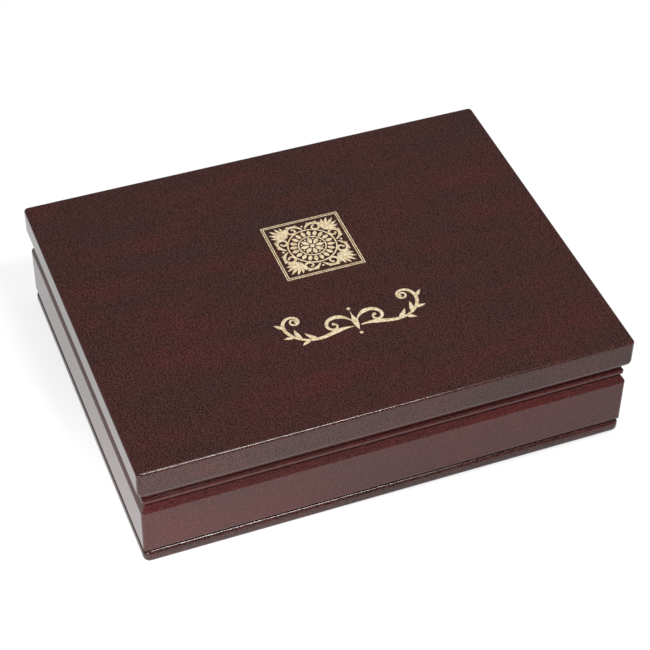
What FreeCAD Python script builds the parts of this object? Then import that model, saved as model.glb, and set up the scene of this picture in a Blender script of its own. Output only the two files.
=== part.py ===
import FreeCAD, Part
import math
import os
import re

import Sketcher

# Wooden keepsake box with a lid hinged along its back edge.
# The box stands on Z = 0 with its middle on the Z axis, its long front face towards -Y.

document = FreeCAD.newDocument("KeepsakeBox")
sizes = document.addObject("Spreadsheet::Sheet", "Sizes")

# Driving dimensions in millimetres. An inset is measured inwards from the edge of the lid board.
drivingSizes = {
    "lidLength": 229.0,
    "lidDepth": 180.0,
    "lidThickness": 15.5,
    "lidTopArris": 1.3,
    "lidBottomArris": 3.6,
    "lidCornerRadius": 2.0,
    "rimHeight": 6.8,
    "rimInset": 3.6,
    "noseInset": 2.1,
    "noseTopGap": 2.7,
    "noseBottomGap": 0.5,
    "noseRadius": 1.8,
    "partingGap": 0.2,
    "wallHeight": 28.3,
    "wallThickness": 10.35,
    "fasciaInset": 1.15,
    "shoulderHeight": 3.4,
    "shoulderWidth": 2.1,
    "shoulderRadius": 14.0,
    "shoulderArris": 0.5,
    "fasciaArris": 1.8,
    "quirkDepth": 2.0,
    "quirkHeight": 0.6,
    "mitreCornerRadius": 1.5,
    "boardThickness": 7.0,
    "boardInset": 1.0,
    "boardTopArris": 2.1,
    "boardBottomArris": 3.0,
    "boardCornerRadius": 3.2,
    "feltThickness": 0.7,
    "feltMargin": 6.0,
    "feltCornerRadius": 3.0,
    "liningThickness": 1.0,
    "liningLip": 1.2,
    "floorPadThickness": 3.5,
    "lidPadThickness": 2.0,
    "padClearance": 0.3,
    "padArris": 0.8,
    "hingeEndDistance": 44.5,
    "hingeLength": 30.0,
    "leafWidth": 8.6,
    "leafThickness": 1.2,
    "leafCornerRadius": 1.5,
    "knuckleRadius": 1.9,
    "middleKnuckleLength": 11.0,
    "knuckleGap": 0.3,
    "knuckleClearance": 0.3,
    "barrelSetback": 0.05,
    "mortiseClearance": 0.1,
    "pinRadius": 1.0,
    "pinClearance": 0.05,
    "pinHeadRadius": 1.5,
    "pinHeadLength": 0.8,
    "screwSpacing": 18.0,
    "screwRadius": 1.1,
    "screwHeadRadius": 2.0,
    "screwClearance": 0.05,
    "screwTipCover": 0.6,
    "screwTipLength": 1.8,
    "slotWidth": 0.5,
    "slotDepth": 0.4,
}
for row, (alias, value) in enumerate(drivingSizes.items(), start=1):
    sizes.set(f"A{row}", alias)
    sizes.set(f"B{row}", str(value))
    sizes.setAlias(f"B{row}", alias)

# Sizes worked out from the driving ones: expressions in the same sheet.
workedOutSizes = {
    "boardBottomZ": "feltThickness",
    "wallBottomZ": "feltThickness + boardThickness",
    "wallTopZ": "wallBottomZ + wallHeight",
    "rimBottomZ": "wallTopZ + partingGap",
    "lidBottomZ": "rimBottomZ + rimHeight",
    "innerInset": "fasciaInset + wallThickness",
    "hingeAxisInset": "knuckleRadius + barrelSetback",
    "hingeOffset": "lidLength / 2 - hingeEndDistance",
    "hingeAxisZ": "wallTopZ + partingGap / 2",
    "barrelRoom": "knuckleRadius + knuckleClearance",
    "pinBoreRadius": "pinRadius + pinClearance",
    "screwHoleRadius": "screwRadius + screwClearance",
    "screwReach": "(knuckleRadius + leafWidth) / 2",
    "screwLength": "rimHeight - screwTipCover",
}
for row, (alias, formula) in enumerate(workedOutSizes.items(), start=len(drivingSizes) + 2):
    sizes.set(f"A{row}", alias)
    sizes.set(f"B{row}", "=" + formula)
    sizes.setAlias(f"B{row}", alias)
document.recompute()


def bound(formula):
    """The formula with every size name pointed at the sheet."""
    def point(match):
        word = match.group()
        known = word in drivingSizes or word in workedOutSizes
        return "Sizes." + word if known else word
    return re.sub("[A-Za-z]+", point, formula)


def valueOf(formula):
    return float(sizes.evalExpression(bound(formula)))


upright = FreeCAD.Vector(0, 0, 1)
sideways = FreeCAD.Vector(1, 0, 0)
quarterTurn = 90.0  # in degrees
samePlace = 0.001  # edges closer than this, in millimetres, count as lying at the same place


def newBody(label, x="0", y="0", z="0", turn=0.0, about=upright):
    """An empty body, turned by the angle in degrees about an axis and moved to x, y, z."""
    body = document.addObject("PartDesign::Body", label)
    body.Label = label
    body.AllowCompound = True
    body.Placement = FreeCAD.Placement(FreeCAD.Vector(), FreeCAD.Rotation(about, turn))
    body.setExpression("Placement.Base.x", bound(x))
    body.setExpression("Placement.Base.y", bound(y))
    body.setExpression("Placement.Base.z", bound(z))
    return body


def newSketch(body, name, plane, lift="0", along="0"):
    """An empty sketch on one of the body's own origin planes, lifted along the plane's normal
    and moved along its own first axis."""
    sketch = body.newObject("Sketcher::SketchObject", name)
    support = next(item for item in body.Origin.OriginFeatures if item.Role == plane)
    sketch.AttachmentSupport = [(support, "")]
    sketch.MapMode = "FlatFace"
    sketch.setExpression("AttachmentOffset.Base.x", bound(along))
    sketch.setExpression("AttachmentOffset.Base.z", bound(lift))
    return sketch


def constrain(sketch, name, formula, kind, *where):
    """A named dimension in the sketch that follows a formula of the sheet."""
    index = sketch.addConstraint(Sketcher.Constraint(kind, *where, valueOf(formula)))
    sketch.renameConstraint(index, name)
    sketch.setExpression("Constraints." + name, bound(formula))


def addOutline(sketch, corners):
    """A closed outline through the corners, counterclockwise, each corner a pair of formulas.
    A third formula makes the side to the next corner an arc of that radius, which turns
    left, or right where the fourth value is "right"."""
    first = sketch.GeometryCount
    places = [FreeCAD.Vector(valueOf(corner[0]), valueOf(corner[1]), 0) for corner in corners]
    ends = []
    for number, corner in enumerate(corners):
        start = places[number]
        stop = places[(number + 1) % len(corners)]
        if len(corner) == 2:
            sketch.addGeometry(Part.LineSegment(start, stop), False)
            ends.append((1, 2))
            continue
        turnsRight = corner[-1] == "right"
        if turnsRight:
            start, stop = stop, start
        radius = valueOf(corner[2])
        chord = stop - start
        reach = math.sqrt(radius ** 2 - chord.Length ** 2 / 4)
        middle = (start + stop) / 2 + FreeCAD.Vector(-chord.y, chord.x, 0) / chord.Length * reach
        circle = Part.Circle(middle, upright, radius)
        fromAngle = math.atan2(start.y - middle.y, start.x - middle.x)
        toAngle = math.atan2(stop.y - middle.y, stop.x - middle.x)
        sketch.addGeometry(Part.ArcOfCircle(circle, fromAngle, toAngle), False)
        ends.append((2, 1) if turnsRight else (1, 2))
    for number, corner in enumerate(corners):
        following = (number + 1) % len(corners)
        side = first + number
        sketch.addConstraint(
            Sketcher.Constraint("Coincident", side, ends[number][1], first + following, ends[following][0])
        )
        constrain(sketch, f"x{side}", corner[0], "DistanceX", -1, 1, side, ends[number][0])
        constrain(sketch, f"y{side}", corner[1], "DistanceY", -1, 1, side, ends[number][0])
        if len(corner) > 2:
            constrain(sketch, f"r{side}", corner[2], "Radius", side)


def addRectangle(sketch, left, right, low, high):
    addOutline(sketch, [(left, low), (right, low), (right, high), (left, high)])


def addCircle(sketch, x, y, radius):
    place = FreeCAD.Vector(valueOf(x), valueOf(y), 0)
    circle = sketch.addGeometry(Part.Circle(place, upright, valueOf(radius)), False)
    constrain(sketch, f"x{circle}", x, "DistanceX", -1, 1, circle, 3)
    constrain(sketch, f"y{circle}", y, "DistanceY", -1, 1, circle, 3)
    constrain(sketch, f"r{circle}", radius, "Radius", circle)


def pad(body, sketch, length, bothWays=False):
    feature = body.newObject("PartDesign::Pad", sketch.Name + "Pad")
    feature.Profile = sketch
    feature.setExpression("Length", bound(length))
    feature.SideType = "Symmetric" if bothWays else "One side"
    body.Tip = feature
    document.recompute()
    return feature


def cutThrough(body, sketch):
    """Cuts the sketch away, both ways from its plane and through the whole piece."""
    before = body.Shape.Volume
    feature = body.newObject("PartDesign::Pocket", sketch.Name + "Cut")
    feature.Profile = sketch
    feature.Type = "ThroughAll"
    feature.SideType = "Symmetric"
    body.Tip = feature
    document.recompute()
    requireLess(body, before)
    return feature


def cutDown(body, sketch, depth, upwards=False):
    """Cuts the sketch away to a depth below its plane, or above it."""
    before = body.Shape.Volume
    feature = body.newObject("PartDesign::Pocket", sketch.Name + "Cut")
    feature.Profile = sketch
    feature.setExpression("Length", bound(depth))
    feature.Reversed = upwards
    body.Tip = feature
    document.recompute()
    requireLess(body, before)
    return feature


def requireLess(body, volumeBefore):
    if body.Shape.Volume >= volumeBefore:
        raise RuntimeError(f"a cut in {body.Label} removed nothing")


def lineEdges(feature, **where):
    """Names of the feature's edges that lie wholly at the given x, y or z."""
    names = []
    for number, edge in enumerate(feature.Shape.Edges, start=1):
        box = edge.BoundBox
        spans = {"x": (box.XMin, box.XMax), "y": (box.YMin, box.YMax), "z": (box.ZMin, box.ZMax)}
        offsets = [abs(end - valueOf(place)) for axis, place in where.items() for end in spans[axis]]
        if max(offsets) < samePlace:
            names.append(f"Edge{number}")
    return names


def uprightEdges(feature, height):
    """Names of the upright edges as tall as the height."""
    tall = valueOf(height)
    names = []
    for number, edge in enumerate(feature.Shape.Edges, start=1):
        box = edge.BoundBox
        if abs(box.ZLength - tall) < samePlace and box.XLength + box.YLength < samePlace:
            names.append(f"Edge{number}")
    return names


def roundEdges(body, base, names, radius):
    feature = body.newObject("PartDesign::Fillet", base.Name + "Round")
    feature.Base = (base, names)
    feature.setExpression("Radius", bound(radius))
    body.Tip = feature
    document.recompute()
    return feature


# Boards, pads and linings

def makeBlock(label, length, depth, thickness, z, x="0", y="0"):
    """A plain block, centred on x, y, with its underside at z."""
    body = newBody(label, x, y, z)
    sketch = newSketch(body, label + "Outline", "XY_Plane")
    halfLength = f"( {length} ) / 2"
    halfDepth = f"( {depth} ) / 2"
    addRectangle(sketch, "-" + halfLength, halfLength, "-" + halfDepth, halfDepth)
    return body, pad(body, sketch, thickness)


def makeRoundedBoard(label, length, depth, thickness, z, cornerRadius, topArris, bottomArris):
    """A board with rounded upright corners and rounded top and bottom edges."""
    body, block = makeBlock(label, length, depth, thickness, z)
    corners = roundEdges(body, block, uprightEdges(block, thickness), cornerRadius)
    upper = roundEdges(body, corners, lineEdges(corners, z=thickness), topArris)
    roundEdges(body, upper, lineEdges(upper, z="0"), bottomArris)
    return body


def makeLidTopPanel():
    makeRoundedBoard(
        "lid_top_panel", "lidLength", "lidDepth", "lidThickness", "lidBottomZ",
        "lidCornerRadius", "lidTopArris", "lidBottomArris",
    )


def makeBottomBoard():
    makeRoundedBoard(
        "bottom_board", "lidLength - 2 * boardInset", "lidDepth - 2 * boardInset",
        "boardThickness", "boardBottomZ", "boardCornerRadius", "boardTopArris", "boardBottomArris",
    )


def makeUndersideFelt():
    inset = "2 * ( boardInset + feltMargin )"
    body, block = makeBlock(
        "underside_felt", "lidLength - " + inset, "lidDepth - " + inset, "feltThickness", "0"
    )
    roundEdges(body, block, uprightEdges(block, "feltThickness"), "feltCornerRadius")


def makePads():
    """Velvet pads on the floor and inside the lid, each a little smaller than its recess."""
    floorInset = "2 * ( innerInset + liningThickness + padClearance )"
    body, block = makeBlock(
        "floor_lining_pad", "lidLength - " + floorInset, "lidDepth - " + floorInset,
        "floorPadThickness", "wallBottomZ",
    )
    roundEdges(body, block, lineEdges(block, z="floorPadThickness"), "padArris")
    lidInset = "2 * ( innerInset + padClearance )"
    body, block = makeBlock(
        "lid_lining_pad", "lidLength - " + lidInset, "lidDepth - " + lidInset,
        "lidPadThickness", "lidBottomZ - lidPadThickness",
    )
    roundEdges(body, block, lineEdges(block, z="0"), "padArris")


def makeWallLinings():
    """Velvet on the four inner faces: the long strips run through, the short ones fit between."""
    height = "wallHeight - liningLip"
    between = "lidDepth - 2 * ( innerInset + liningThickness )"
    alongX = "lidLength / 2 - innerInset - liningThickness / 2"
    alongY = "lidDepth / 2 - innerInset - liningThickness / 2"
    longStrip = ("lidLength - 2 * innerInset", "liningThickness", height, "wallBottomZ")
    shortStrip = ("liningThickness", between, height, "wallBottomZ")
    makeBlock("front_wall_lining", *longStrip, y=f"-( {alongY} )")
    makeBlock("back_wall_lining", *longStrip, y=alongY)
    makeBlock("left_wall_lining", *shortStrip, x=f"-( {alongX} )")
    makeBlock("right_wall_lining", *shortStrip, x=alongX)


# Mitred rails and walls. Each is drawn along X with the lid board's edge as its line Y = 0
# and the inside of the box towards +Y, and is then turned to its side of the box. Each side
# has its length and the middle of the lid board's edge there, a quarter turn from the last.

sides = [
    ("front", "lidLength", "0", "-lidDepth / 2"),
    ("right", "lidDepth", "lidLength / 2", "0"),
    ("back", "lidLength", "0", "lidDepth / 2"),
    ("left", "lidDepth", "-lidLength / 2", "0"),
]


def mitreEnds(body, length, faceInset):
    """Cuts both ends at 45 degrees and rounds the upright corner that the mitre leaves."""
    sketch = newSketch(body, body.Label + "Mitres", "XY_Plane")
    roundedInset = f"( {faceInset} + mitreCornerRadius )"
    mitreInset = f"( {faceInset} + mitreCornerRadius * ( 1 - sqrt(0.5) ) )"
    beyond = "( 2 * innerInset )"
    for sign in ("", "-"):
        onFace = (f"{sign}( {length} / 2 - {roundedInset} )", faceInset)
        onMitre = (f"{sign}( {length} / 2 - {mitreInset} )", mitreInset)
        inside = (f"{sign}( {length} / 2 - {beyond} )", beyond)
        farInside = (f"{sign}( {length} / 2 + {beyond} )", beyond)
        farOutside = (f"{sign}( {length} / 2 + {beyond} )", "-" + beyond)
        outside = (onFace[0], "-" + beyond)
        arc = ("mitreCornerRadius", "right")
        if sign:
            addOutline(sketch, [onFace + arc, onMitre, inside, farInside, farOutside, outside])
        else:
            addOutline(sketch, [onFace, outside, farOutside, farInside, inside, onMitre + arc])
    cutThrough(body, sketch)


def makeWall(side, length, x, y, turn):
    """A base wall: flat fascia, above it a steep shoulder with a slight swell, and a quirk
    along its foot."""
    body = newBody(f"base_{side}_wall", x, y, "wallBottomZ", turn)
    sketch = newSketch(body, body.Label + "Profile", "YZ_Plane")
    quirkInset = "fasciaInset + quirkDepth"
    shoulderFoot = "wallHeight - shoulderHeight"
    addOutline(sketch, [
        (quirkInset, "0"),
        ("innerInset", "0"),
        ("innerInset", "wallHeight"),
        ("fasciaInset + shoulderWidth", "wallHeight", "shoulderRadius"),
        ("fasciaInset", shoulderFoot),
        ("fasciaInset", "quirkHeight"),
        (quirkInset, "quirkHeight"),
    ])
    block = pad(body, sketch, length, bothWays=True)
    foot = lineEdges(block, y="fasciaInset", z=shoulderFoot)
    shouldered = roundEdges(body, block, foot, "shoulderArris")
    roundEdges(body, shouldered, lineEdges(shouldered, y="fasciaInset", z="quirkHeight"), "fasciaArris")
    mitreEnds(body, length, "fasciaInset")
    return body


def makeRail(side, length, x, y, turn):
    """A rail of the lid's rim: a face set back under the lid board, with a round nose along it."""
    body = newBody(f"lid_{side}_rail", x, y, "rimBottomZ", turn)
    sketch = newSketch(body, body.Label + "Profile", "YZ_Plane")
    noseTop = "rimHeight - noseTopGap"
    noseMiddle = "( rimHeight - noseTopGap + noseBottomGap ) / 2"
    addOutline(sketch, [
        ("rimInset", "0"),
        ("innerInset", "0"),
        ("innerInset", "rimHeight"),
        ("rimInset", "rimHeight"),
        ("rimInset", noseTop, "noseRadius"),
        ("noseInset", noseMiddle, "noseRadius"),
        ("rimInset", "noseBottomGap"),
    ])
    pad(body, sketch, length, bothWays=True)
    mitreEnds(body, length, "noseInset")
    return body


# Hinges, and the room for them in the back wall and the back rail

hingeMiddles = {"left": "-hingeOffset", "right": "hingeOffset"}


def addHingeRoom(body, faceZ, intoWood, barrelFloorZ):
    """Cuts the barrel's recess, the leaf's mortise and the screw holes for both hinges.
    faceZ is the face that the leaves are let into. intoWood is "up" or "down"."""
    up = intoWood == "up"
    recess = newSketch(body, body.Label + "BarrelRecess", "XY_Plane", lift=barrelFloorZ)
    mortise = newSketch(body, body.Label + "LeafMortise", "XY_Plane", lift=faceZ)
    holes = newSketch(body, body.Label + "ScrewHoles", "XY_Plane", lift=faceZ)
    for middle in hingeMiddles.values():
        halfRecess = "( hingeLength / 2 + pinHeadLength + knuckleClearance )"
        addRectangle(
            recess, f"{middle} - {halfRecess}", f"{middle} + {halfRecess}",
            "-barrelRoom", "hingeAxisInset + barrelRoom",
        )
        halfMortise = "( hingeLength / 2 + mortiseClearance )"
        addRectangle(
            mortise, f"{middle} - {halfMortise}", f"{middle} + {halfMortise}",
            "hingeAxisInset", "hingeAxisInset + leafWidth + mortiseClearance",
        )
        for sign in ("-", "+"):
            addCircle(
                holes, f"{middle} {sign} screwSpacing / 2", "hingeAxisInset + screwReach", "screwHoleRadius"
            )
    cutDown(body, recess, "2 * barrelRoom", upwards=not up)
    cutDown(body, mortise, "leafThickness", upwards=up)
    cutDown(body, holes, "screwLength + screwClearance", upwards=up)


def makeSides():
    for turns, side in enumerate(sides):
        wall = makeWall(*side, turns * quarterTurn)
        rail = makeRail(*side, turns * quarterTurn)
        if side[0] == "back":
            addHingeRoom(wall, "wallHeight", "down", "hingeAxisZ - barrelRoom - wallBottomZ")
            addHingeRoom(rail, "0", "up", "hingeAxisZ + barrelRoom - rimBottomZ")


def makeLeaf(label, x, plateBottom, gaps, holeFace):
    """A hinge leaf about the pin's axis: a plate with part of the barrel along its edge.
    gaps are the stretches along the axis that the other leaf's knuckles fill."""
    body = newBody(label, x, "lidDepth / 2 - hingeAxisInset", "hingeAxisZ")
    plateOutline = newSketch(body, label + "Plate", "XY_Plane", lift=plateBottom)
    addRectangle(plateOutline, "-hingeLength / 2", "hingeLength / 2", "-leafWidth", "0")
    plate = pad(body, plateOutline, "leafThickness")
    freeCorners = [
        name for sign in ("-", "") for name in lineEdges(plate, x=sign + "hingeLength / 2", y="-leafWidth")
    ]
    roundEdges(body, plate, freeCorners, "leafCornerRadius")
    barrel = newSketch(body, label + "Barrel", "YZ_Plane")
    addCircle(barrel, "0", "0", "knuckleRadius")
    pad(body, barrel, "hingeLength", bothWays=True)
    gapOutlines = newSketch(body, label + "Gaps", "XY_Plane")
    for start, stop in gaps:
        addRectangle(gapOutlines, start, stop, "-barrelRoom", "barrelRoom")
    cutThrough(body, gapOutlines)
    bore = newSketch(body, label + "Bore", "YZ_Plane")
    addCircle(bore, "0", "0", "pinBoreRadius")
    cutThrough(body, bore)
    holes = newSketch(body, label + "Holes", "XY_Plane")
    for sign in ("-", ""):
        addCircle(holes, sign + "screwSpacing / 2", "-screwReach", "screwHoleRadius")
    drilled = cutThrough(body, holes)
    rims = lineEdges(drilled, z=holeFace)
    rims = [name for name in rims if drilled.Shape.getElement(name).Curve.TypeId == "Part::GeomCircle"]
    sunk = body.newObject("PartDesign::Chamfer", label + "Countersinks")
    sunk.Base = (drilled, [name for name in rims if isHoleRim(drilled.Shape.getElement(name))])
    sunk.setExpression("Size", bound("screwHeadRadius - screwRadius"))
    body.Tip = sunk
    document.recompute()


def isHoleRim(edge):
    return abs(edge.Curve.Radius - valueOf("screwHoleRadius")) < samePlace


def makePin(label, x):
    """A pin with a button at each end, lying along X through the barrel."""
    body = newBody(label, x, "lidDepth / 2 - hingeAxisInset", "hingeAxisZ")
    sketch = newSketch(body, label + "Profile", "XY_Plane")
    shank = "hingeLength / 2"
    end = "( hingeLength / 2 + pinHeadLength )"
    addOutline(sketch, [
        ("-" + end, "0"),
        (end, "0"),
        (end, "pinHeadRadius"),
        (shank, "pinHeadRadius"),
        (shank, "pinRadius"),
        ("-" + shank, "pinRadius"),
        ("-" + shank, "pinHeadRadius"),
        ("-" + end, "pinHeadRadius"),
    ])
    revolve(body, sketch, "H_Axis")


def revolve(body, sketch, axis):
    feature = body.newObject("PartDesign::Revolution", sketch.Name + "Turned")
    feature.Profile = sketch
    feature.ReferenceAxis = (sketch, [axis])
    feature.Angle = 4 * quarterTurn
    body.Tip = feature
    document.recompute()
    return feature


def makeScrews(label, x, z, turn):
    """Two countersunk screws with slotted heads, their heads flush with z, as one group."""
    body = newBody(label, x, "lidDepth / 2 - hingeAxisInset - screwReach", z, turn, about=sideways)
    sketch = newSketch(body, label + "Profile", "XZ_Plane", along="screwSpacing / 2")
    addOutline(sketch, [
        ("0", "-screwLength"),
        ("screwRadius", "screwTipLength - screwLength"),
        ("screwRadius", "screwRadius - screwHeadRadius"),
        ("screwHeadRadius", "0"),
        ("0", "0"),
    ])
    turned = revolve(body, sketch, "V_Axis")
    slotOutline = newSketch(body, label + "Slot", "XY_Plane")
    addRectangle(
        slotOutline, "screwSpacing / 2 - screwHeadRadius", "screwSpacing / 2 + screwHeadRadius",
        "-slotWidth / 2", "slotWidth / 2",
    )
    slot = cutDown(body, slotOutline, "slotDepth")
    pair = body.newObject("PartDesign::Mirrored", label + "Pair")
    pair.Originals = [turned, slot]
    plane = next(item for item in body.Origin.OriginFeatures if item.Role == "YZ_Plane")
    pair.MirrorPlane = (plane, [""])
    body.Tip = pair
    document.recompute()


def makeHinges():
    halfMiddle = "( middleKnuckleLength / 2 )"
    halfGap = "( middleKnuckleLength / 2 + knuckleGap )"
    outer = "( hingeLength / 2 + knuckleGap )"
    for side, x in hingeMiddles.items():
        makeLeaf(
            f"{side}_hinge_base_leaf", x, "-partingGap / 2 - leafThickness",
            [("-" + halfGap, halfGap)], "-partingGap / 2",
        )
        makeLeaf(
            f"{side}_hinge_lid_leaf", x, "partingGap / 2",
            [("-" + outer, "-" + halfMiddle), (halfMiddle, outer)], "partingGap / 2",
        )
        makePin(f"{side}_hinge_pin", x)
        makeScrews(f"{side}_hinge_base_screws", x, "wallTopZ", 0.0)
        makeScrews(f"{side}_hinge_lid_screws", x, "rimBottomZ", 2 * quarterTurn)


def writeParts():
    """Stops on any failed object, then writes each body's shape under its label."""
    for item in document.Objects:
        if "Invalid" in item.State or "Error" in item.State:
            raise RuntimeError(f"{item.Label} is {item.State}")
    os.makedirs("parts", exist_ok=True)
    for body in document.findObjects("PartDesign::Body"):
        if body.Shape.isNull() or not body.Shape.isValid():
            raise RuntimeError(f"{body.Label} has no valid shape")
        body.Shape.exportStep(f"parts/{body.Label}.step")
        print(body.Label, len(body.Shape.Solids), round(body.Shape.Volume, 1))


makeLidTopPanel()
makeBottomBoard()
makeUndersideFelt()
makePads()
makeWallLinings()
makeSides()
makeHinges()
document.recompute()
writeParts()
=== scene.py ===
import math

import bpy
import numpy as np
from mathutils import Matrix, Vector


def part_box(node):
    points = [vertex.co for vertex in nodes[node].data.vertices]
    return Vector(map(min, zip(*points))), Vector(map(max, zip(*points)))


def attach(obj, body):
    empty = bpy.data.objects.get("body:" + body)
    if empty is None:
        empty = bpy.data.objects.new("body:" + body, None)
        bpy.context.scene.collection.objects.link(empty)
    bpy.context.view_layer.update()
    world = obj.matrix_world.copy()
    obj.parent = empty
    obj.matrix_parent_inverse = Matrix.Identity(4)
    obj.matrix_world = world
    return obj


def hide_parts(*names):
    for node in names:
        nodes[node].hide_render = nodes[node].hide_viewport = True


# Rosewood keepsake box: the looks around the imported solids. The scene, the camera and the studio are in
# metres, and the sizes of patterns and pieces are written in millimetres

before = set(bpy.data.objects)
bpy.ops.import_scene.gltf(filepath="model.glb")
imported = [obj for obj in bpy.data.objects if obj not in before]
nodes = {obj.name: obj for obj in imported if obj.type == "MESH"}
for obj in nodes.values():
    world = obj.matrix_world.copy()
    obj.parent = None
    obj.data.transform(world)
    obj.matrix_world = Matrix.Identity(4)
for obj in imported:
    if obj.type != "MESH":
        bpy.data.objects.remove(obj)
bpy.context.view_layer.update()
print("frame loaded:", len(nodes), "nodes")

mm = 0.001


# Small helpers

def linear(hexColour):
    # sRGB hex to the linear numbers that a shader takes
    parts = np.array([int(hexColour[i:i + 2], 16) for i in (1, 3, 5)]) / 255
    return (*np.where(parts <= 0.04045, parts / 12.92, ((parts + 0.055) / 1.055) ** 2.4), 1.0)


def addNode(tree, kind, inputs=None, stops=(), **settings):
    # one node with its settings; an input given as a socket is linked, and stops fill a colour ramp
    node = tree.nodes.new(kind)
    for name, value in settings.items():
        setattr(node, name, value)
    for name, value in (inputs or {}).items():
        if isinstance(value, bpy.types.NodeSocket):
            tree.links.new(value, node.inputs[name])
        else:
            node.inputs[name].default_value = value
    for number, (place, colour) in enumerate(stops):
        ramp = node.color_ramp.elements
        stop = ramp[number] if number < 2 else ramp.new(place)
        stop.position = place
        stop.color = colour
    return node


def newMaterial(name):
    material = bpy.data.materials.new(name)
    material.use_nodes = True
    material.node_tree.nodes.clear()
    return material, material.node_tree


def gridFaces(rows, columns, wrapRows=False, wrapColumns=False):
    # quads between neighbouring points of a grid; a wrapped direction closes on itself
    row = np.arange(rows if wrapRows else rows - 1)
    column = np.arange(columns if wrapColumns else columns - 1)
    row, column = np.meshgrid(row, column, indexing="ij")
    nextRow = (row + 1) % rows
    nextColumn = (column + 1) % columns
    corners = [row * columns + column, nextRow * columns + column,
               nextRow * columns + nextColumn, row * columns + nextColumn]
    return np.stack(corners, -1).reshape(-1, 4).tolist()


def tubeFaces(rings, count):
    # quads round a row of closed rings, and one flat face at either end
    last = (rings - 1) * count
    ends = [list(range(count)), list(range(last, last + count))[::-1]]
    return gridFaces(rings, count, wrapColumns=True) + ends


def joined(parts):
    # several (points, faces) as one
    points, faces, first = [], [], 0
    for somePoints, someFaces in parts:
        points.append(somePoints)
        faces += [[first + corner for corner in face] for face in someFaces]
        first += len(somePoints)
    return np.concatenate(points), faces


def newPiece(name, shape, material, body):
    # a mesh of one material that rides on a body
    points, faces = shape
    mesh = bpy.data.meshes.new(name)
    mesh.from_pydata(points.tolist(), [], faces)
    mesh.shade_smooth()
    mesh.materials.append(material)
    piece = bpy.data.objects.new(name, mesh)
    bpy.context.scene.collection.objects.link(piece)
    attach(piece, body)
    return piece


# Camera, where the photograph was taken from

cameraSettings = {
    "azimuth": -23.606,
    "elevation": 43.815,
    "roll": 2.389,
    "distance": 0.95415,
    "sensor": 36,
    "lens": 109.425,
    "shift": (-0.07585, 0.01168),
    "target": (0.03267, 0.01113, 0.0),
    "nearest": 0.05,
}


def placeCamera(settings):
    # stands back from the target, turned from the front by the azimuth, and rolled about its line of sight
    azimuth, elevation, roll = (math.radians(settings[name]) for name in ("azimuth", "elevation", "roll"))
    back = Vector((math.sin(azimuth) * math.cos(elevation),
                   -math.cos(azimuth) * math.cos(elevation), math.sin(elevation)))
    level = Vector((math.cos(azimuth), math.sin(azimuth), 0))
    steep = back.cross(level)
    right = level * math.cos(roll) + steep * math.sin(roll)
    up = steep * math.cos(roll) - level * math.sin(roll)
    data = bpy.data.cameras.new("camera")
    data.sensor_width = settings["sensor"]
    data.lens = settings["lens"]
    data.shift_x, data.shift_y = settings["shift"]
    data.clip_start = settings["nearest"]
    camera = bpy.data.objects.new("camera", data)
    bpy.context.scene.collection.objects.link(camera)
    camera.matrix_world = Matrix((right, up, back)).transposed().to_4x4()
    camera.location = Vector(settings["target"]) + back * settings["distance"]
    bpy.context.scene.camera = camera


placeCamera(cameraSettings)


# Studio: a white table lit from below, brightest at the front left, and soft lamps in a dim room

studio = {
    "floorSize": 3.0,
    "floorColour": "#8a8a8a",
    "glowSeen": (1.08, 0.80),  # to the eye and in reflections, bright side and dim side
    "glowLight": (1.2, 0.0),  # on everything else
    "glowEnds": (-0.26, -0.06),
    "glowSlant": 1.2,
    "glowReach": (0.55, 0.85),
    "glowBeyond": 0.1,
    "horizon": 0.3,
    "ceiling": 0.23,
    "skyBand": (0.05, 0.13),
    "skySlant": -0.12,
    "lamps": {
        "sideLamp": {"place": (-0.45, -0.50, 0.15), "size": (0.10, 0.08), "power": 1.8},
        "frontLamp": {"place": (0.29, -0.69, 1.45), "size": (0.40, 0.20), "power": 15.0},
        "overheadLamp": {"place": (0.0, 0.05, 1.5), "size": (0.5, 0.4), "power": 5.5},
    },
}


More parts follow.
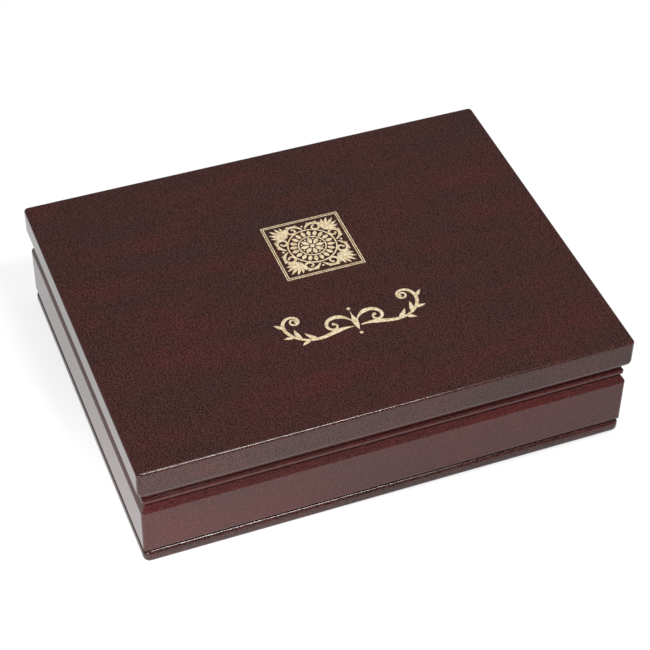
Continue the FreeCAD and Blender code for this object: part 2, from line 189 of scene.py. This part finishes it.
def makeFloor():
    half = studio["floorSize"] / 2
    corners = [(-half, -half, 0), (half, -half, 0), (half, half, 0), (-half, half, 0)]
    mesh = bpy.data.meshes.new("floor")
    mesh.from_pydata(corners, [], [(0, 1, 2, 3)])
    floor = bpy.data.objects.new("floor", mesh)
    bpy.context.scene.collection.objects.link(floor)
    # opal table top: matt white, with a glow that falls off from the front left to the back right. The eye
    # and the lacquer see it white throughout, while it lights the box itself more from the left
    material, tree = newMaterial("opal acrylic, matt white")
    paper = addNode(tree, "ShaderNodeBsdfDiffuse", {"Color": linear(studio["floorColour"])})
    place = addNode(tree, "ShaderNodeTexCoord").outputs["Object"]
    part = addNode(tree, "ShaderNodeSeparateXYZ", {0: place}).outputs
    away = addNode(tree, "ShaderNodeMath", {0: part["Y"], 1: studio["glowSlant"], 2: part["X"]},
                   operation="MULTIPLY_ADD").outputs[0]
    start, end = studio["glowEnds"]
    levels = [addNode(tree, "ShaderNodeMapRange", {
        "Value": away, "From Min": start, "From Max": end, "To Min": bright, "To Max": dim},
        interpolation_type="SMOOTHSTEP").outputs[0]
        for bright, dim in (studio["glowLight"], studio["glowSeen"])]
    ray = addNode(tree, "ShaderNodeLightPath").outputs
    seen = ray["Is Camera Ray"]
    for mirrored in ("Is Glossy Ray", "Is Transmission Ray"):
        seen = addNode(tree, "ShaderNodeMath", {0: seen, 1: ray[mirrored]}, operation="MAXIMUM").outputs[0]
    strength = addNode(tree, "ShaderNodeMix", {0: seen, 2: levels[0], 3: levels[1]}, data_type="FLOAT")
    near, far = studio["glowReach"]
    distance = addNode(tree, "ShaderNodeVectorMath", {0: place}, operation="LENGTH").outputs["Value"]
    reach = addNode(tree, "ShaderNodeMapRange", {
        "Value": distance, "From Min": near, "From Max": far,
        "To Min": 1.0, "To Max": studio["glowBeyond"]}).outputs[0]
    strength = addNode(tree, "ShaderNodeMath", {0: strength.outputs[0], 1: reach}, operation="MULTIPLY")
    glow = addNode(tree, "ShaderNodeEmission", {"Strength": strength.outputs[0]})
    both = addNode(tree, "ShaderNodeAddShader", {0: paper.outputs[0], 1: glow.outputs[0]})
    addNode(tree, "ShaderNodeOutputMaterial", {"Surface": both.outputs[0]})
    mesh.materials.append(material)


def makeWorld():
    # a dim room: one level of light near the horizon and another above, along a slightly slanted line
    world = bpy.data.worlds.new("studio")
    world.use_nodes = True
    tree = world.node_tree
    tree.nodes.clear()
    direction = addNode(tree, "ShaderNodeTexCoord").outputs["Generated"]
    part = addNode(tree, "ShaderNodeSeparateXYZ", {0: direction}).outputs
    height = addNode(tree, "ShaderNodeMath", {0: part["Y"], 1: studio["skySlant"], 2: part["Z"]},
                     operation="MULTIPLY_ADD")
    low, high = studio["skyBand"]
    level = addNode(tree, "ShaderNodeMapRange", {
        "Value": height.outputs[0], "From Min": low, "From Max": high,
        "To Min": studio["horizon"], "To Max": studio["ceiling"]})
    light = addNode(tree, "ShaderNodeBackground", {"Strength": level.outputs[0]})
    addNode(tree, "ShaderNodeOutputWorld", {"Surface": light.outputs[0]})
    bpy.context.scene.world = world


def makeLamps():
    # each faces the middle of the table
    for name, settings in studio["lamps"].items():
        data = bpy.data.lights.new(name, "AREA")
        data.shape = "RECTANGLE"
        data.size, data.size_y = settings["size"]
        data.energy = settings["power"]
        lamp = bpy.data.objects.new(name, data)
        bpy.context.scene.collection.objects.link(lamp)
        lamp.location = settings["place"]
        lamp.rotation_euler = Vector(settings["place"]).to_track_quat("Z", "Y").to_euler()


bpy.context.scene.view_settings.view_transform = "Standard"
makeFloor()
makeWorld()
makeLamps()
print("studio ready")


# Rosewood under satin lacquer

# the board colours are darker than the moulding colours: painted shade that keeps the lid top darker than the
# lit moulding fronts, though both are one rosewood
shadedBoardWood = {"dark": "#381e1b", "middle": "#3e1d19", "warm": "#471d19", "pore": "#241211",
             "roughness": 0.16, "ior": 1.40, "speckle": 0.7, "bloom": 0.015}
mouldingWood = {"dark": "#46201e", "middle": "#4c1f1e", "warm": "#52201e", "pore": "#281312",
                "roughness": 0.16, "ior": 1.40, "speckle": 0.45, "bloom": 0.008}


# both kinds: a feature's millimetres along and across the grain and the noise's detail, the band of each
# noise that is used, how much a feature counts, and the relief of the lacquer in millimetres
rosewoodGrain = {
    "figure": (45, 16, 3),  # soft patches as wide as a growth ring's flame
    "streak": (22, 1.8, 4),
    "fibre": (0.7, 0.35, 2),  # real fibres are finer; this is the least that shows
    "pores": (3.0, 0.4, 2),
    "figureShare": 0.9,
    "streakShare": 0.35,
    "toneBand": (0.42, 0.84),
    "poreBand": (0.58, 0.74),
    "fibreBand": (0.42, 0.58),
    "glossBand": (0.3, 0.7),
    "glossSpread": 0.05,
    "poreDepth": 0.6,
    "bump": 0.35,
    "relief": 0.03,
}


def makeRosewood(name, grainAxis, look):
    # rosewood stained dark red-brown: long soft figure, fine dark pores, a satin lacquer that half fills them
    material, tree = newMaterial(name)
    place = addNode(tree, "ShaderNodeTexCoord").outputs["Object"]

    def grain(feature):
        # noise drawn out along the grain
        along, across, detail = rosewoodGrain[feature]
        scale = [1 / (across * mm)] * 3
        scale[grainAxis] = 1 / (along * mm)
        stretched = addNode(tree, "ShaderNodeMapping", {"Vector": place, "Scale": scale})
        return addNode(tree, "ShaderNodeTexNoise",
                       {"Vector": stretched.outputs[0], "Scale": 1.0, "Detail": detail}).outputs[0]

    fibre = grain("fibre")
    low, high = rosewoodGrain["poreBand"]
    pores = addNode(tree, "ShaderNodeMapRange", {
        "Value": grain("pores"), "From Min": low, "From Max": high}).outputs[0]
    streaks = addNode(tree, "ShaderNodeMath", {0: grain("streak"), 1: rosewoodGrain["streakShare"]},
                      operation="MULTIPLY").outputs[0]
    pattern = addNode(tree, "ShaderNodeMath", {
        0: grain("figure"), 1: rosewoodGrain["figureShare"], 2: streaks}, operation="MULTIPLY_ADD").outputs[0]
    low, high = rosewoodGrain["toneBand"]
    tone = addNode(tree, "ShaderNodeMapRange", {"Value": pattern, "From Min": low, "From Max": high})
    stain = addNode(tree, "ShaderNodeValToRGB", {"Fac": tone.outputs[0]}, stops=[
        (0.0, linear(look["dark"])), (1.0, linear(look["warm"])), (0.5, linear(look["middle"]))])
    filled = addNode(tree, "ShaderNodeMix", {0: pores, 6: stain.outputs[0], 7: linear(look["pore"])},
                     data_type="RGBA")
    # each fibre takes the stain a little more or less than the next, and the raised ones look paler
    low, high = rosewoodGrain["fibreBand"]
    speckle, bloom = (addNode(tree, "ShaderNodeMapRange", {
        "Value": fibre, "From Min": low, "From Max": high, "To Min": least, "To Max": most}).outputs[0]
        for least, most in ((1 - look["speckle"], 1 + look["speckle"]), (0.0, look["bloom"])))
    wood = addNode(tree, "ShaderNodeVectorMath", {0: filled.outputs[2], 1: speckle, 2: bloom},
                   operation="MULTIPLY_ADD")
    low, high = rosewoodGrain["glossBand"]
    gloss = addNode(tree, "ShaderNodeMapRange", {
        "Value": fibre, "From Min": low, "From Max": high,
        "To Min": look["roughness"] - rosewoodGrain["glossSpread"],
        "To Max": look["roughness"] + rosewoodGrain["glossSpread"]})
    hollow = addNode(tree, "ShaderNodeMath", {0: pores, 1: -rosewoodGrain["poreDepth"], 2: fibre},
                     operation="MULTIPLY_ADD")
    bump = addNode(tree, "ShaderNodeBump", {
        "Strength": rosewoodGrain["bump"], "Distance": rosewoodGrain["relief"] * mm,
        "Height": hollow.outputs[0]})
    surface = addNode(tree, "ShaderNodeBsdfPrincipled", {
        "Base Color": wood.outputs[0], "Roughness": gloss.outputs[0], "IOR": look["ior"],
        "Normal": bump.outputs[0]})
    addNode(tree, "ShaderNodeOutputMaterial", {"Surface": surface.outputs[0]})
    return material


# the boards and panels, the lid top among them, take the stain darkened as painted shade
shadedBoardRosewood = makeRosewood("rosewood board, satin lacquer, grain along X", 0, shadedBoardWood)
longRosewood = makeRosewood("rosewood moulding, satin lacquer, grain along X", 0, mouldingWood)
shortRosewood = makeRosewood("rosewood moulding, satin lacquer, grain along Y", 1, mouldingWood)

# Gold paint rubbed into an engraving: matt, uneven, worn thin in places

giltLook = {"bright": "#fbebc9", "worn": "#d6b686", "roughness": 0.42, "metallic": 0.12,
            "patch": 1.2, "patchBand": (0.35, 0.60), "bump": 0.3, "relief": 0.02}


def makeGilt(name, look):
    material, tree = newMaterial(name)
    place = addNode(tree, "ShaderNodeTexCoord").outputs["Object"]
    patches = addNode(tree, "ShaderNodeTexNoise", {
        "Vector": place, "Scale": 1 / (look["patch"] * mm), "Detail": 3.0}).outputs[0]
    low, high = look["patchBand"]
    mottled = addNode(tree, "ShaderNodeValToRGB", {"Fac": patches}, stops=[
        (low, linear(look["worn"])), (high, linear(look["bright"]))])
    bump = addNode(tree, "ShaderNodeBump", {
        "Strength": look["bump"], "Distance": look["relief"] * mm, "Height": patches})
    surface = addNode(tree, "ShaderNodeBsdfPrincipled", {
        "Base Color": mottled.outputs[0], "Roughness": look["roughness"], "Metallic": look["metallic"],
        "Normal": bump.outputs[0]})
    addNode(tree, "ShaderNodeOutputMaterial", {"Surface": surface.outputs[0]})
    return material


gilt = makeGilt("gold paint, rubbed into engraving", giltLook)

# Brass: the leaves brushed along the hinge, pins and screws turned and polished

brassLooks = {
    "hinge_brass": {"colour": "#d6bd88", "tarnish": "#bfa268", "roughness": 0.30, "lines": (6.0, 0.12)},
    "screw_brass": {"colour": "#e0c993", "tarnish": "#c9ac70", "roughness": 0.16, "lines": (0.3, 0.3)},
}
brassSurface = {"cloud": 5, "cloudBand": (0.35, 0.6), "glossBelow": 0.06, "glossAbove": 0.10,
                "bump": 0.15, "relief": 0.01}


def makeBrass(name, look):
    # fine lines left by the brush or the lathe, under clouds of faint tarnish; sizes in millimetres
    material, tree = newMaterial(name)
    place = addNode(tree, "ShaderNodeTexCoord").outputs["Object"]
    along, across = look["lines"]
    stretched = addNode(tree, "ShaderNodeMapping", {
        "Vector": place, "Scale": (1 / (along * mm), 1 / (across * mm), 1 / (across * mm))})
    lines = addNode(tree, "ShaderNodeTexNoise", {
        "Vector": stretched.outputs[0], "Scale": 1.0, "Detail": 3.0}).outputs[0]
    clouds = addNode(tree, "ShaderNodeTexNoise", {
        "Vector": place, "Scale": 1 / (brassSurface["cloud"] * mm), "Detail": 3.0})
    low, high = brassSurface["cloudBand"]
    colour = addNode(tree, "ShaderNodeValToRGB", {"Fac": clouds.outputs[0]}, stops=[
        (low, linear(look["tarnish"])), (high, linear(look["colour"]))])
    gloss = addNode(tree, "ShaderNodeMapRange", {
        "Value": lines, "To Min": look["roughness"] - brassSurface["glossBelow"],
        "To Max": look["roughness"] + brassSurface["glossAbove"]})
    bump = addNode(tree, "ShaderNodeBump", {
        "Strength": brassSurface["bump"], "Distance": brassSurface["relief"] * mm, "Height": lines})
    surface = addNode(tree, "ShaderNodeBsdfPrincipled", {
        "Base Color": colour.outputs[0], "Metallic": 1.0, "Roughness": gloss.outputs[0],
        "Normal": bump.outputs[0]})
    addNode(tree, "ShaderNodeOutputMaterial", {"Surface": surface.outputs[0]})
    return material


hingeBrass = makeBrass("brass, brushed and lacquered", brassLooks["hinge_brass"])
screwBrass = makeBrass("brass, turned and polished", brassLooks["screw_brass"])

# Cloth: velvet inside, pressed felt underneath

clothLooks = {
    "velvet": {"dark": "#470d17", "light": "#681421", "pile": 0.5, "crush": 18.0,
               "sheen": 0.9, "sheenTint": "#c0505c", "roughness": 0.85},
    "felt": {"dark": "#0e0e10", "light": "#1e1e21", "pile": 0.8, "crush": 5.0,
             "sheen": 0.25, "sheenTint": "#6a6a70", "roughness": 0.95},
}
clothSurface = {"napShare": 0.4, "toneBand": (0.5, 0.9), "bump": 0.6, "relief": 0.15,
                "specular": 0.2, "sheenRoughness": 0.35}


def makeCloth(name, look):
    # a short pile that stands this way and that: lighter and darker clouds over a fine nap, and a sheen
    material, tree = newMaterial(name)
    place = addNode(tree, "ShaderNodeTexCoord").outputs["Object"]
    nap, clouds = (addNode(tree, "ShaderNodeTexNoise", {
        "Vector": place, "Scale": 1 / (look[size] * mm), "Detail": detail}).outputs[0]
        for size, detail in (("pile", 3.0), ("crush", 4.0)))
    tone = addNode(tree, "ShaderNodeMath", {0: nap, 1: clothSurface["napShare"], 2: clouds},
                   operation="MULTIPLY_ADD")
    low, high = clothSurface["toneBand"]
    colour = addNode(tree, "ShaderNodeValToRGB", {"Fac": tone.outputs[0]}, stops=[
        (low, linear(look["dark"])), (high, linear(look["light"]))])
    bump = addNode(tree, "ShaderNodeBump", {
        "Strength": clothSurface["bump"], "Distance": clothSurface["relief"] * mm, "Height": nap})
    surface = addNode(tree, "ShaderNodeBsdfPrincipled", {
        "Base Color": colour.outputs[0], "Roughness": look["roughness"],
        "Specular IOR Level": clothSurface["specular"], "Sheen Weight": look["sheen"],
        "Sheen Roughness": clothSurface["sheenRoughness"], "Sheen Tint": linear(look["sheenTint"]),
        "Normal": bump.outputs[0]})
    addNode(tree, "ShaderNodeOutputMaterial", {"Surface": surface.outputs[0]})
    return material


velvet = makeCloth("velvet, wine red cotton pile", clothLooks["velvet"])
felt = makeCloth("wool felt, black, pressed", clothLooks["felt"])

for name, node in nodes.items():
    if "screws" in name or "pin" in name:
        finish = screwBrass
    elif "leaf" in name:
        finish = hingeBrass
    elif "board" in name or "panel" in name:
        finish = shadedBoardRosewood
    elif "left" in name or "right" in name:
        finish = shortRosewood
    else:
        finish = longRosewood
    node.data.materials.clear()
    node.data.materials.append(finish)
print("finishes on", len(nodes), "nodes")


# Gilt ornament on the lid: pen strokes in millimetres and degrees from its middle

# a section is given as half of it, from an edge to the crown, in shares of half the width
gilding = {
    "middle": (3.1, 18.8),
    "squareSide": 38.0,
    "squareLines": ((0.25, 0.5), (1.15, 0.5)),  # how far in from the edge, and how wide
    "flourishMiddle": (3.1, -35.5),
    "lineSection": (1, 0.9, 0.4),
    "strokeSection": (-1, -0.95, -0.5),
    "sunk": 0.03,
    "proud": 0.03,
    "shoulder": 0.3,
    "thinnest": 0.06,
    "dotThinnest": 0.03,
    "dotSteps": 9,
    "leafSteps": 9,
    "leafStalk": 0.2,
    "leafTail": 0.8,
}
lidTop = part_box("lid_top_panel")[1].z / mm


def pen(start, heading, length, bends, widths, steps):
    # a stroke whose bend (degrees per mm) and width (mm) change evenly between the values given:
    # heading is the integral of the bend along the stroke, and the line the integral of the heading
    along = np.linspace(0, length, steps)
    bend = np.interp(along, np.linspace(0, length, len(bends)), bends)
    width = np.interp(along, np.linspace(0, length, len(widths)), widths)
    step = length / (steps - 1)
    turned = np.concatenate([[0], np.cumsum((bend[1:] + bend[:-1]) / 2) * step])
    angle = np.radians(heading + turned)
    middle = (angle[1:] + angle[:-1]) / 2
    moves = np.stack([np.cos(middle), np.sin(middle)], -1) * step
    line = np.concatenate([[start], start + np.cumsum(moves, 0)])
    return line, np.maximum(width, gilding["thinnest"])


def dot(centre, radius):
    # a disc as a very short stroke: its width is the chord of the circle
    across = np.cos(np.linspace(math.pi, 0, gilding["dotSteps"])) * radius
    line = np.stack([centre[0] + across, np.full(len(across), centre[1])], -1)
    chord = 2 * np.sqrt(np.maximum(radius ** 2 - across ** 2, 0))
    return line, np.maximum(chord, gilding["dotThinnest"])


def sprouts(stroke, places, turn, length, width, bend):
    # little leaves that leave a stroke at shares of its length, turned from its direction
    line, _ = stroke
    widths = [gilding["leafStalk"], width, gilding["leafTail"] * width, 0]
    leaves = []
    for place in places:
        number = int(place * (len(line) - 2))
        run = line[number + 1] - line[number]
        heading = math.degrees(math.atan2(run[1], run[0])) + turn
        leaves.append(pen(line[number], heading, length, [bend, bend], widths, gilding["leafSteps"]))
    return leaves


def turnedCopies(strokes, mirrors=(1, -1)):
    # the same strokes in every quarter, each with its mirror image
    copies = []
    for quarter in range(4):
        angle = quarter * math.pi / 2
        for mirror in mirrors:
            matrix = np.array([[math.cos(angle), -math.sin(angle) * mirror],
                               [math.sin(angle), math.cos(angle) * mirror]])
            copies += [(line @ matrix.T, width) for line, width in strokes]
    return copies


def archedSection(half):
    # a low arch of six points: sunk at both edges, a shoulder above them and proud at the crown
    side = np.concatenate([half, -np.array(half)[::-1]])
    rise = np.array([-gilding["sunk"], gilding["shoulder"] * gilding["proud"], gilding["proud"]])
    return side, np.concatenate([rise, rise[::-1]])


def onLid(flat, rise):
    # points in the plan and their rise over the lid board, as points in metres
    height = np.broadcast_to(lidTop + rise, flat.shape[:2])
    return np.concatenate([flat, height[:, :, None]], -1).reshape(-1, 3) * mm


def strokeShape(stroke, centre):
    # the stroke as a thin solid: the section carried along its line and closed at both ends
    line, width = stroke
    run = np.gradient(line, axis=0)
    run /= np.linalg.norm(run, axis=1)[:, None]
    across = np.stack([-run[:, 1], run[:, 0]], -1)
    side, rise = archedSection(gilding["strokeSection"])
    flat = line[:, None, :] + across[:, None, :] * (side * width[:, None] / 2)[:, :, None] + centre
    return onLid(flat, rise), tubeFaces(len(line), len(side))


def squareLine(half, width, centre):
    # a square outline with mitred corners: the section carried round the four corners
    corner = np.array([[-1, -1], [1, -1], [1, 1], [-1, 1]])
    side, rise = archedSection(gilding["lineSection"])
    flat = corner[:, None, :] * (half + side * width / 2)[None, :, None] + centre
    return onLid(flat, rise), gridFaces(len(corner), len(side), wrapRows=True, wrapColumns=True)


def polar(radius, degrees):
    # the point at a distance and an angle from the middle
    return np.array([math.cos(math.radians(degrees)), math.sin(math.radians(degrees))]) * radius


# from is a distance from the middle, and a bend is in degrees per millimetre
ornament = {
    "heart": 1.1,
    "petals": {"count": 8, "from": 1.5, "length": 4.1, "widths": [0.4, 1.9, 2.3, 0.5], "steps": 10},
    "seeds": {"from": 5.0, "radius": 0.42},
    "circles": {"sizes": ((6.35, 0.7), (11.3, 0.75)), "steps": 90},
    "tongues": {"count": 20, "from": 7.1, "length": 3.5, "widths": [1.0, 1.75, 2.2, 1.6, 0], "steps": 10},
    # its leaves: the turn from the diagonal, length, width and bend; shares of that width follow the stalk
    "palmette": {"from": 12.4, "foot": 1.0, "stalk": 0.8, "shares": (0.7, 1, 1, 0), "steps": 12,
                 "leaves": ((15, 8.0, 1.45, -1.5), (30, 6.9, 1.4, -3), (45, 5.4, 1.3, -4))},
    "palmetteMiddle": {"from": 12.6, "length": 9.6, "widths": [0.8, 1.3, 1.7, 1.5, 0], "steps": 12},
    "scroll": {"start": (12.2, 0.7), "heading": 30, "length": 17.5, "bends": [6, 12, 20, 26, 32, 50],
               "widths": [0.7, 1.5, 1.35, 1.2, 1.1, 0.9], "steps": 44},
    "scrollEye": 0.6,
    "scrollLeaves": ({"places": (0.17,), "turn": -46, "length": 2.0, "width": 1.0, "bend": 12},
                     {"places": (0.36,), "turn": -40, "length": 2.4, "width": 1.2, "bend": 14}),
    "bead": ((14.2, 0), 0.6),
}


def spoke(look, degrees):
    # a straight stroke that points away from the middle
    return pen(polar(look["from"], degrees), degrees, look["length"], [0, 0], look["widths"], look["steps"])


def ornamentStrokes():
    # a rosette, a ring of tongues between two circles, scrolls along the sides and a palmette in each corner
    petals, seeds, circles, tongues, palmette = (
        ornament[name] for name in ("petals", "seeds", "circles", "tongues", "palmette"))
    strokes = [dot((0, 0), ornament["heart"])]
    petalTurn = 360 / petals["count"]
    for number in range(petals["count"]):
        strokes.append(spoke(petals, number * petalTurn))
        strokes.append(dot(polar(seeds["from"], (number + 0.5) * petalTurn), seeds["radius"]))
    for radius, width in circles["sizes"]:
        bend = math.degrees(1 / radius)
        length = 2 * math.pi * radius
        strokes.append(pen((radius, 0), 90, length, [bend, bend], [width, width], circles["steps"]))
    for number in range(tongues["count"]):
        strokes.append(spoke(tongues, (number + 0.5) * 360 / tongues["count"]))
    eighth = []
    for turn, length, width, bend in palmette["leaves"]:
        start = polar(palmette["from"], 45) + polar(palmette["foot"], 45 - turn)
        widths = [palmette["stalk"], *(share * width for share in palmette["shares"])]
        eighth.append(pen(start, 45 - turn, length, [bend, -bend], widths, palmette["steps"]))
    scroll = pen(**ornament["scroll"])
    eighth += [scroll, dot(scroll[0][-1], ornament["scrollEye"])]
    for leaves in ornament["scrollLeaves"]:
        eighth += sprouts(scroll, **leaves)
    whole = [spoke(ornament["palmetteMiddle"], 45), dot(*ornament["bead"])]
    return strokes + turnedCopies(eighth) + turnedCopies(whole, mirrors=(1,))


flourish = {
    "stem": {"start": (1.6, -2.4), "heading": 10, "length": 60,
             "bends": [-3.2, -2.4, 3.2, 4.4, 4.6, 8, 16, 30, 44],
             "widths": [0.4, 2.4, 1.9, 1.2, 1.6, 1.8, 1.4, 1.1, 0.9], "steps": 84},
    "stemEye": 1.0,
    "curl": {"start": (1.3, 1.4), "heading": 60, "length": 25, "bends": [-5, -8, -12, -22, -42],
             "widths": [0.4, 2.3, 1.8, 1.3, 0.9], "steps": 44},
    "curlEye": 0.9,
    "leaves": ({"places": (0.30, 0.42), "turn": 26, "length": 7.4, "width": 2.2, "bend": 5},
               {"places": (0.36, 0.48, 0.60), "turn": -30, "length": 5.4, "width": 1.9, "bend": -4}),
    "bud": {"start": (0, -5.2), "heading": 90, "length": 12.6, "bends": [0, 0],
            "widths": [0, 2.2, 3.2, 0.8, 0], "steps": 18},
    "beads": (((0, 9.0), 0.9), ((0, -7.0), 0.8)),
}


def flourishStrokes():
    # a bud between two leafy scrolls, the same to both sides
    stem = pen(**flourish["stem"])
    curl = pen(**flourish["curl"])
    half = [stem, dot(stem[0][-1], flourish["stemEye"]), curl, dot(curl[0][-1], flourish["curlEye"])]
    for leaves in flourish["leaves"]:
        half += sprouts(stem, **leaves)
    strokes = half + [(line * (-1, 1), width) for line, width in half]
    return strokes + [pen(**flourish["bud"])] + [dot(*bead) for bead in flourish["beads"]]


def gildLid():
    centre, below = np.array(gilding["middle"]), np.array(gilding["flourishMiddle"])
    half = gilding["squareSide"] / 2
    inlays = {
        "frame": [squareLine(half - inset, width, centre) for inset, width in gilding["squareLines"]],
        "ornament": [strokeShape(stroke, centre) for stroke in ornamentStrokes()],
        "flourish": [strokeShape(stroke, below) for stroke in flourishStrokes()],
    }
    for name, shapes in inlays.items():
        newPiece("lid_inlay_" + name, joined(shapes), gilt, "lid")


gildLid()
print("gilding done")


# Velvet pads: foam glued down flat, its cover swollen by cloth pressure

padding = {
    "columns": 56,
    "rows": 44,
    "edge": 2.6,
    "startShare": 0.72,
    "sideRoom": 0.4,  # for the swelling
    "cap": 1.1,
    "pressure": 4.0,
    "quality": 6,
    "frames": 20,
}


def padGrid(low, high, up):
    # two sheets over the same grid, welded at the rim. One lies flat, the other rises from the rim along
    # a quarter ellipse to its full height; the lines stand closer together towards the rim, as a sine does
    columns, rows = padding["columns"], padding["rows"]
    x = np.sin(np.linspace(-1, 1, columns) * math.pi / 2)
    y = np.sin(np.linspace(-1, 1, rows) * math.pi / 2)
    x, y = np.meshgrid(x, y, indexing="ij")
    middle, half = (low + high) / 2, (high - low) / 2
    fromRim = np.minimum((1 - abs(x)) * half[0], (1 - abs(y)) * half[1]) / (padding["edge"] * mm)
    rise = np.sqrt(1 - (1 - np.minimum(fromRim, 1)) ** 2)
    glued = low[2] if up > 0 else high[2]
    flat = np.stack([middle[0] + x * half[0], middle[1] + y * half[1], np.full_like(x, glued)], -1)
    crown = flat.copy()
    crown[..., 2] += up * rise * 2 * half[2] * padding["startShare"]
    points = np.concatenate([flat.reshape(-1, 3), crown.reshape(-1, 3)])
    quads = np.array(gridFaces(columns, rows))
    upper = quads + columns * rows
    inside = np.zeros((columns, rows), bool)
    inside[1:-1, 1:-1] = True
    weld = np.arange(len(points))
    weld[columns * rows:][~inside.reshape(-1)] -= columns * rows
    lower, upper = (quads[:, ::-1], upper) if up > 0 else (quads, upper[:, ::-1])
    faces = weld[np.concatenate([lower, upper])]
    used, faces = np.unique(faces, return_inverse=True)
    return (points[used], faces.reshape(-1, 4).tolist()), int(columns * rows)


def swell(piece, gluedCount):
    # cloth pressure lifts the free sheet, and no point may rise further than the cap
    glued = piece.vertex_groups.new(name="glued")
    glued.add(list(range(gluedCount)), 1.0, "REPLACE")
    before = np.empty(len(piece.data.vertices) * 3)
    piece.data.vertices.foreach_get("co", before)
    cloth = piece.modifiers.new("cloth", "CLOTH")
    cloth.settings.use_pressure = True
    cloth.settings.uniform_pressure_force = padding["pressure"]
    cloth.settings.effector_weights.gravity = 0.0
    cloth.settings.vertex_group_mass = glued.name
    cloth.settings.quality = padding["quality"]
    cloth.point_cache.frame_end = padding["frames"]
    for number in range(1, padding["frames"] + 1):
        bpy.context.scene.frame_set(number)
    swollen = piece.evaluated_get(bpy.context.evaluated_depsgraph_get()).to_mesh()
    after = np.empty(len(before))
    swollen.vertices.foreach_get("co", after)
    piece.modifiers.remove(cloth)
    piece.vertex_groups.remove(glued)
    bpy.context.scene.frame_set(1)
    move = (after - before).reshape(-1, 3)
    far = np.linalg.norm(move, axis=1, keepdims=True)
    cap = padding["cap"] * mm
    move *= cap * np.tanh(far / cap) / np.maximum(far, 1e-9)
    piece.data.vertices.foreach_set("co", (before.reshape(-1, 3) + move).reshape(-1))
    piece.data.update()


def makePad(node, body, up):
    # up is 1 where the swollen side looks up, and -1 where it hangs under the lid
    low, high = (np.array(corner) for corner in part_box(node))
    inset = np.array([1, 1, 0]) * padding["sideRoom"] * mm
    shape, gluedCount = padGrid(low + inset, high - inset, up)
    piece = newPiece(node + "_velvet", shape, velvet, body)
    swell(piece, gluedCount)
    smooth = piece.modifiers.new("smooth", "SUBSURF")
    smooth.levels = smooth.render_levels = 1
    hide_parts(node)


makePad("floor_lining_pad", "base", 1)
makePad("lid_lining_pad", "lid", -1)
print("pads done")


# Wall linings: velvet wrapped round card strips

# two waves multiplied, each with its turn in radians per metre along and up the wall
lining = {"radius": 0.45, "arcSteps": 6, "stations": 60, "wave": 0.05, "ripples": ((310, 420), (127, -260))}


def roundedRing(low, high, radius, steps):
    # a rectangle with a quarter circle at each corner, counterclockwise
    turn = np.linspace(0, math.pi / 2, steps)
    ring = []
    for number, corner in enumerate([(1, 1), (-1, 1), (-1, -1), (1, -1)]):
        angle = turn + number * math.pi / 2
        centre = np.where(np.array(corner) > 0, high - radius, low + radius)
        ring.append(centre + radius * np.stack([np.cos(angle), np.sin(angle)], -1))
    return np.concatenate(ring)


def makeLining(node, axis):
    # a rounded section carried along the wall, its faces a little wavy where the velvet lies uneven
    low, high = (np.array(corner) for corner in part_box(node))
    across = 1 - axis
    ring = roundedRing(low[[across, 2]], high[[across, 2]], lining["radius"] * mm, lining["arcSteps"])
    along = np.linspace(low[axis], high[axis], lining["stations"])[:, None]
    side, height = ring.T
    inwards = -np.sign(low[across] + high[across])
    shown = (side - (low[across] + high[across]) / 2) * inwards > 0
    ripple = math.prod(np.sin(along * run + height * climb) for run, climb in lining["ripples"])
    points = np.empty((len(along), len(ring), 3))
    points[..., axis] = along
    points[..., across] = side - inwards * shown * (ripple + 1) * lining["wave"] * mm
    points[..., 2] = height
    faces = tubeFaces(len(along), len(ring))
    if axis == 0:
        faces = [face[::-1] for face in faces]
    piece = newPiece(node + "_velvet", (points.reshape(-1, 3), faces), velvet, "base")
    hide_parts(node)


for side, axis in (("front", 0), ("back", 0), ("left", 1), ("right", 1)):
    makeLining(side + "_wall_lining", axis)

# Felt under the box, cut from the sheet and glued to the board

feltSheet = {"radius": 3.0, "arcSteps": 10, "rounding": 0.18}


def makeFelt():
    # a rounded rectangle carried up through the sheet's thickness, a little smaller at both faces
    low, high = (np.array(corner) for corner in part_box("underside_felt"))
    rounding = feltSheet["rounding"] * mm
    levels = ((low[2], rounding), (low[2] + rounding, 0), (high[2] - rounding, 0), (high[2], rounding))
    rings = []
    for height, inset in levels:
        ring = roundedRing(low[:2] + inset, high[:2] - inset, feltSheet["radius"] * mm, feltSheet["arcSteps"])
        rings.append(np.column_stack([ring, np.full(len(ring), height)]))
    faces = [face[::-1] for face in tubeFaces(len(rings), len(rings[0]))]
    piece = newPiece("underside_felt_sheet", (np.concatenate(rings), faces), felt, "base")
    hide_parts("underside_felt")


makeFelt()
print("linings and felt done")
